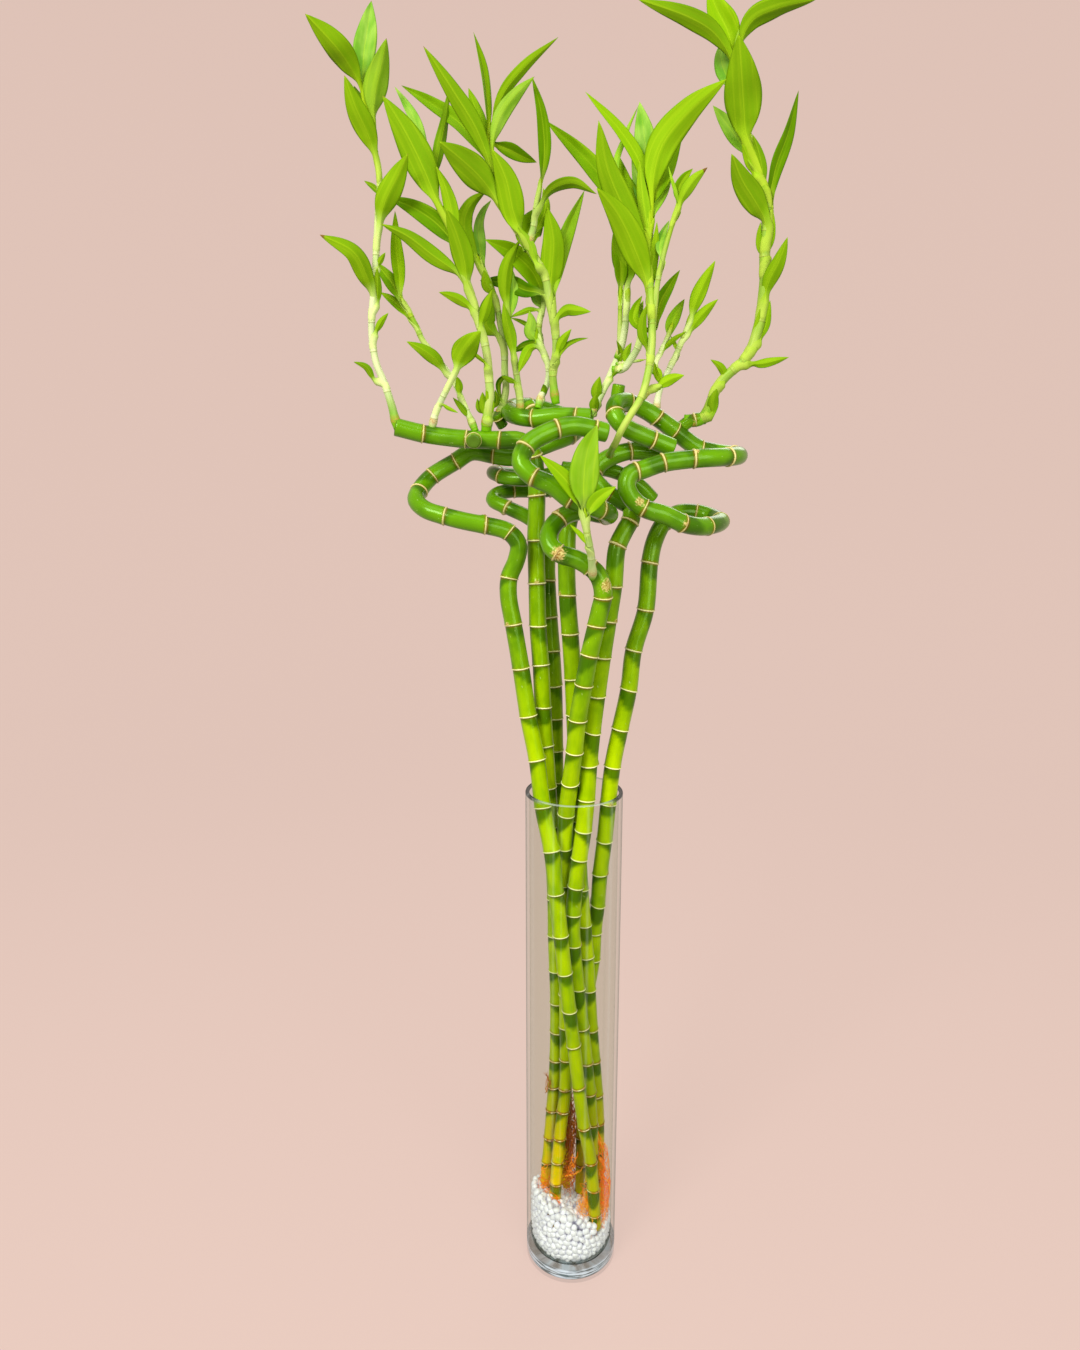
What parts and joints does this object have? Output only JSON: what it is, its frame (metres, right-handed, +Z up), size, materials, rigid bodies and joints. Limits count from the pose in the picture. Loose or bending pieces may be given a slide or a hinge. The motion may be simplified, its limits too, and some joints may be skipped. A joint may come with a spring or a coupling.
{
  "type": "lucky bamboo in a glass vase",
  "caption": "Curled lucky bamboo canes with leafy shoots, standing in white pebbles in a tall straight cylindrical glass vase.",
  "frame": {"origin": "centre of the vase's foot, on the surface it stands on", "axes": "+Z up along the vase's axis; -Y towards the front of the plant as pictured; +X to its right"},
  "size_m": [0.4305, 0.2187, 1.2949],
  "materials": {
    "glass": "clear polished glass",
    "pebble": "polished white pebbles",
    "cane": "waxy green bark, half gloss",
    "shoot": "pale green young stem, satin",
    "leaf": "yellow-green leaf, satin",
    "root": "orange-brown root, matte"
  },
  "bodies": {
    "root": {"cane_a": "cane", "cane_b": "cane", "cane_c": "cane", "cane_d": "cane", "cane_e": "cane", "cane_f": "cane", "cane_g": "cane", "shoot_far_left": "shoot", "shoot_left_front": "shoot", "shoot_left_back": "shoot", "shoot_middle_left": "shoot", "shoot_middle_back": "shoot", "shoot_tall": "shoot", "shoot_tall_fork": "shoot", "shoot_pair": "shoot", "shoot_low_left": "shoot", "shoot_front": "shoot", "shoot_right_middle": "shoot", "shoot_right_inner": "shoot", "shoot_right_small": "shoot", "shoot_right": "shoot", "leaf_far_left_1": "leaf", "leaf_far_left_2": "leaf", "leaf_far_left_3": "leaf", "leaf_far_left_4": "leaf", "leaf_far_left_5": "leaf", "leaf_far_left_6": "leaf", "leaf_left_front_1": "leaf", "leaf_middle_left_1": "leaf", "leaf_middle_left_2": "leaf", "leaf_middle_left_3": "leaf", "leaf_middle_left_4": "leaf", "leaf_tall_1": "leaf", "leaf_tall_2": "leaf", "leaf_tall_3": "leaf", "leaf_tall_4": "leaf", "leaf_tall_5": "leaf", "leaf_fork_1": "leaf", "leaf_fork_2": "leaf", "leaf_pair_1": "leaf", "leaf_front_1": "leaf", "leaf_front_2": "leaf", "leaf_right_middle_1": "leaf", "leaf_right_middle_2": "leaf", "leaf_right_middle_3": "leaf", "leaf_right_middle_4": "leaf", "leaf_right_middle_5": "leaf", "leaf_right_middle_6": "leaf", "leaf_right_inner_1": "leaf", "leaf_right_1": "leaf", "leaf_right_2": "leaf", "leaf_right_3": "leaf", "leaf_right_4": "leaf", "leaf_right_5": "leaf", "leaf_right_6": "leaf", "leaf_right_7": "leaf", "roots_orange": "root", "roots_brown": "root", "vase": "glass", "pebble_bed": "pebble"}
  },
  "joints": []
}
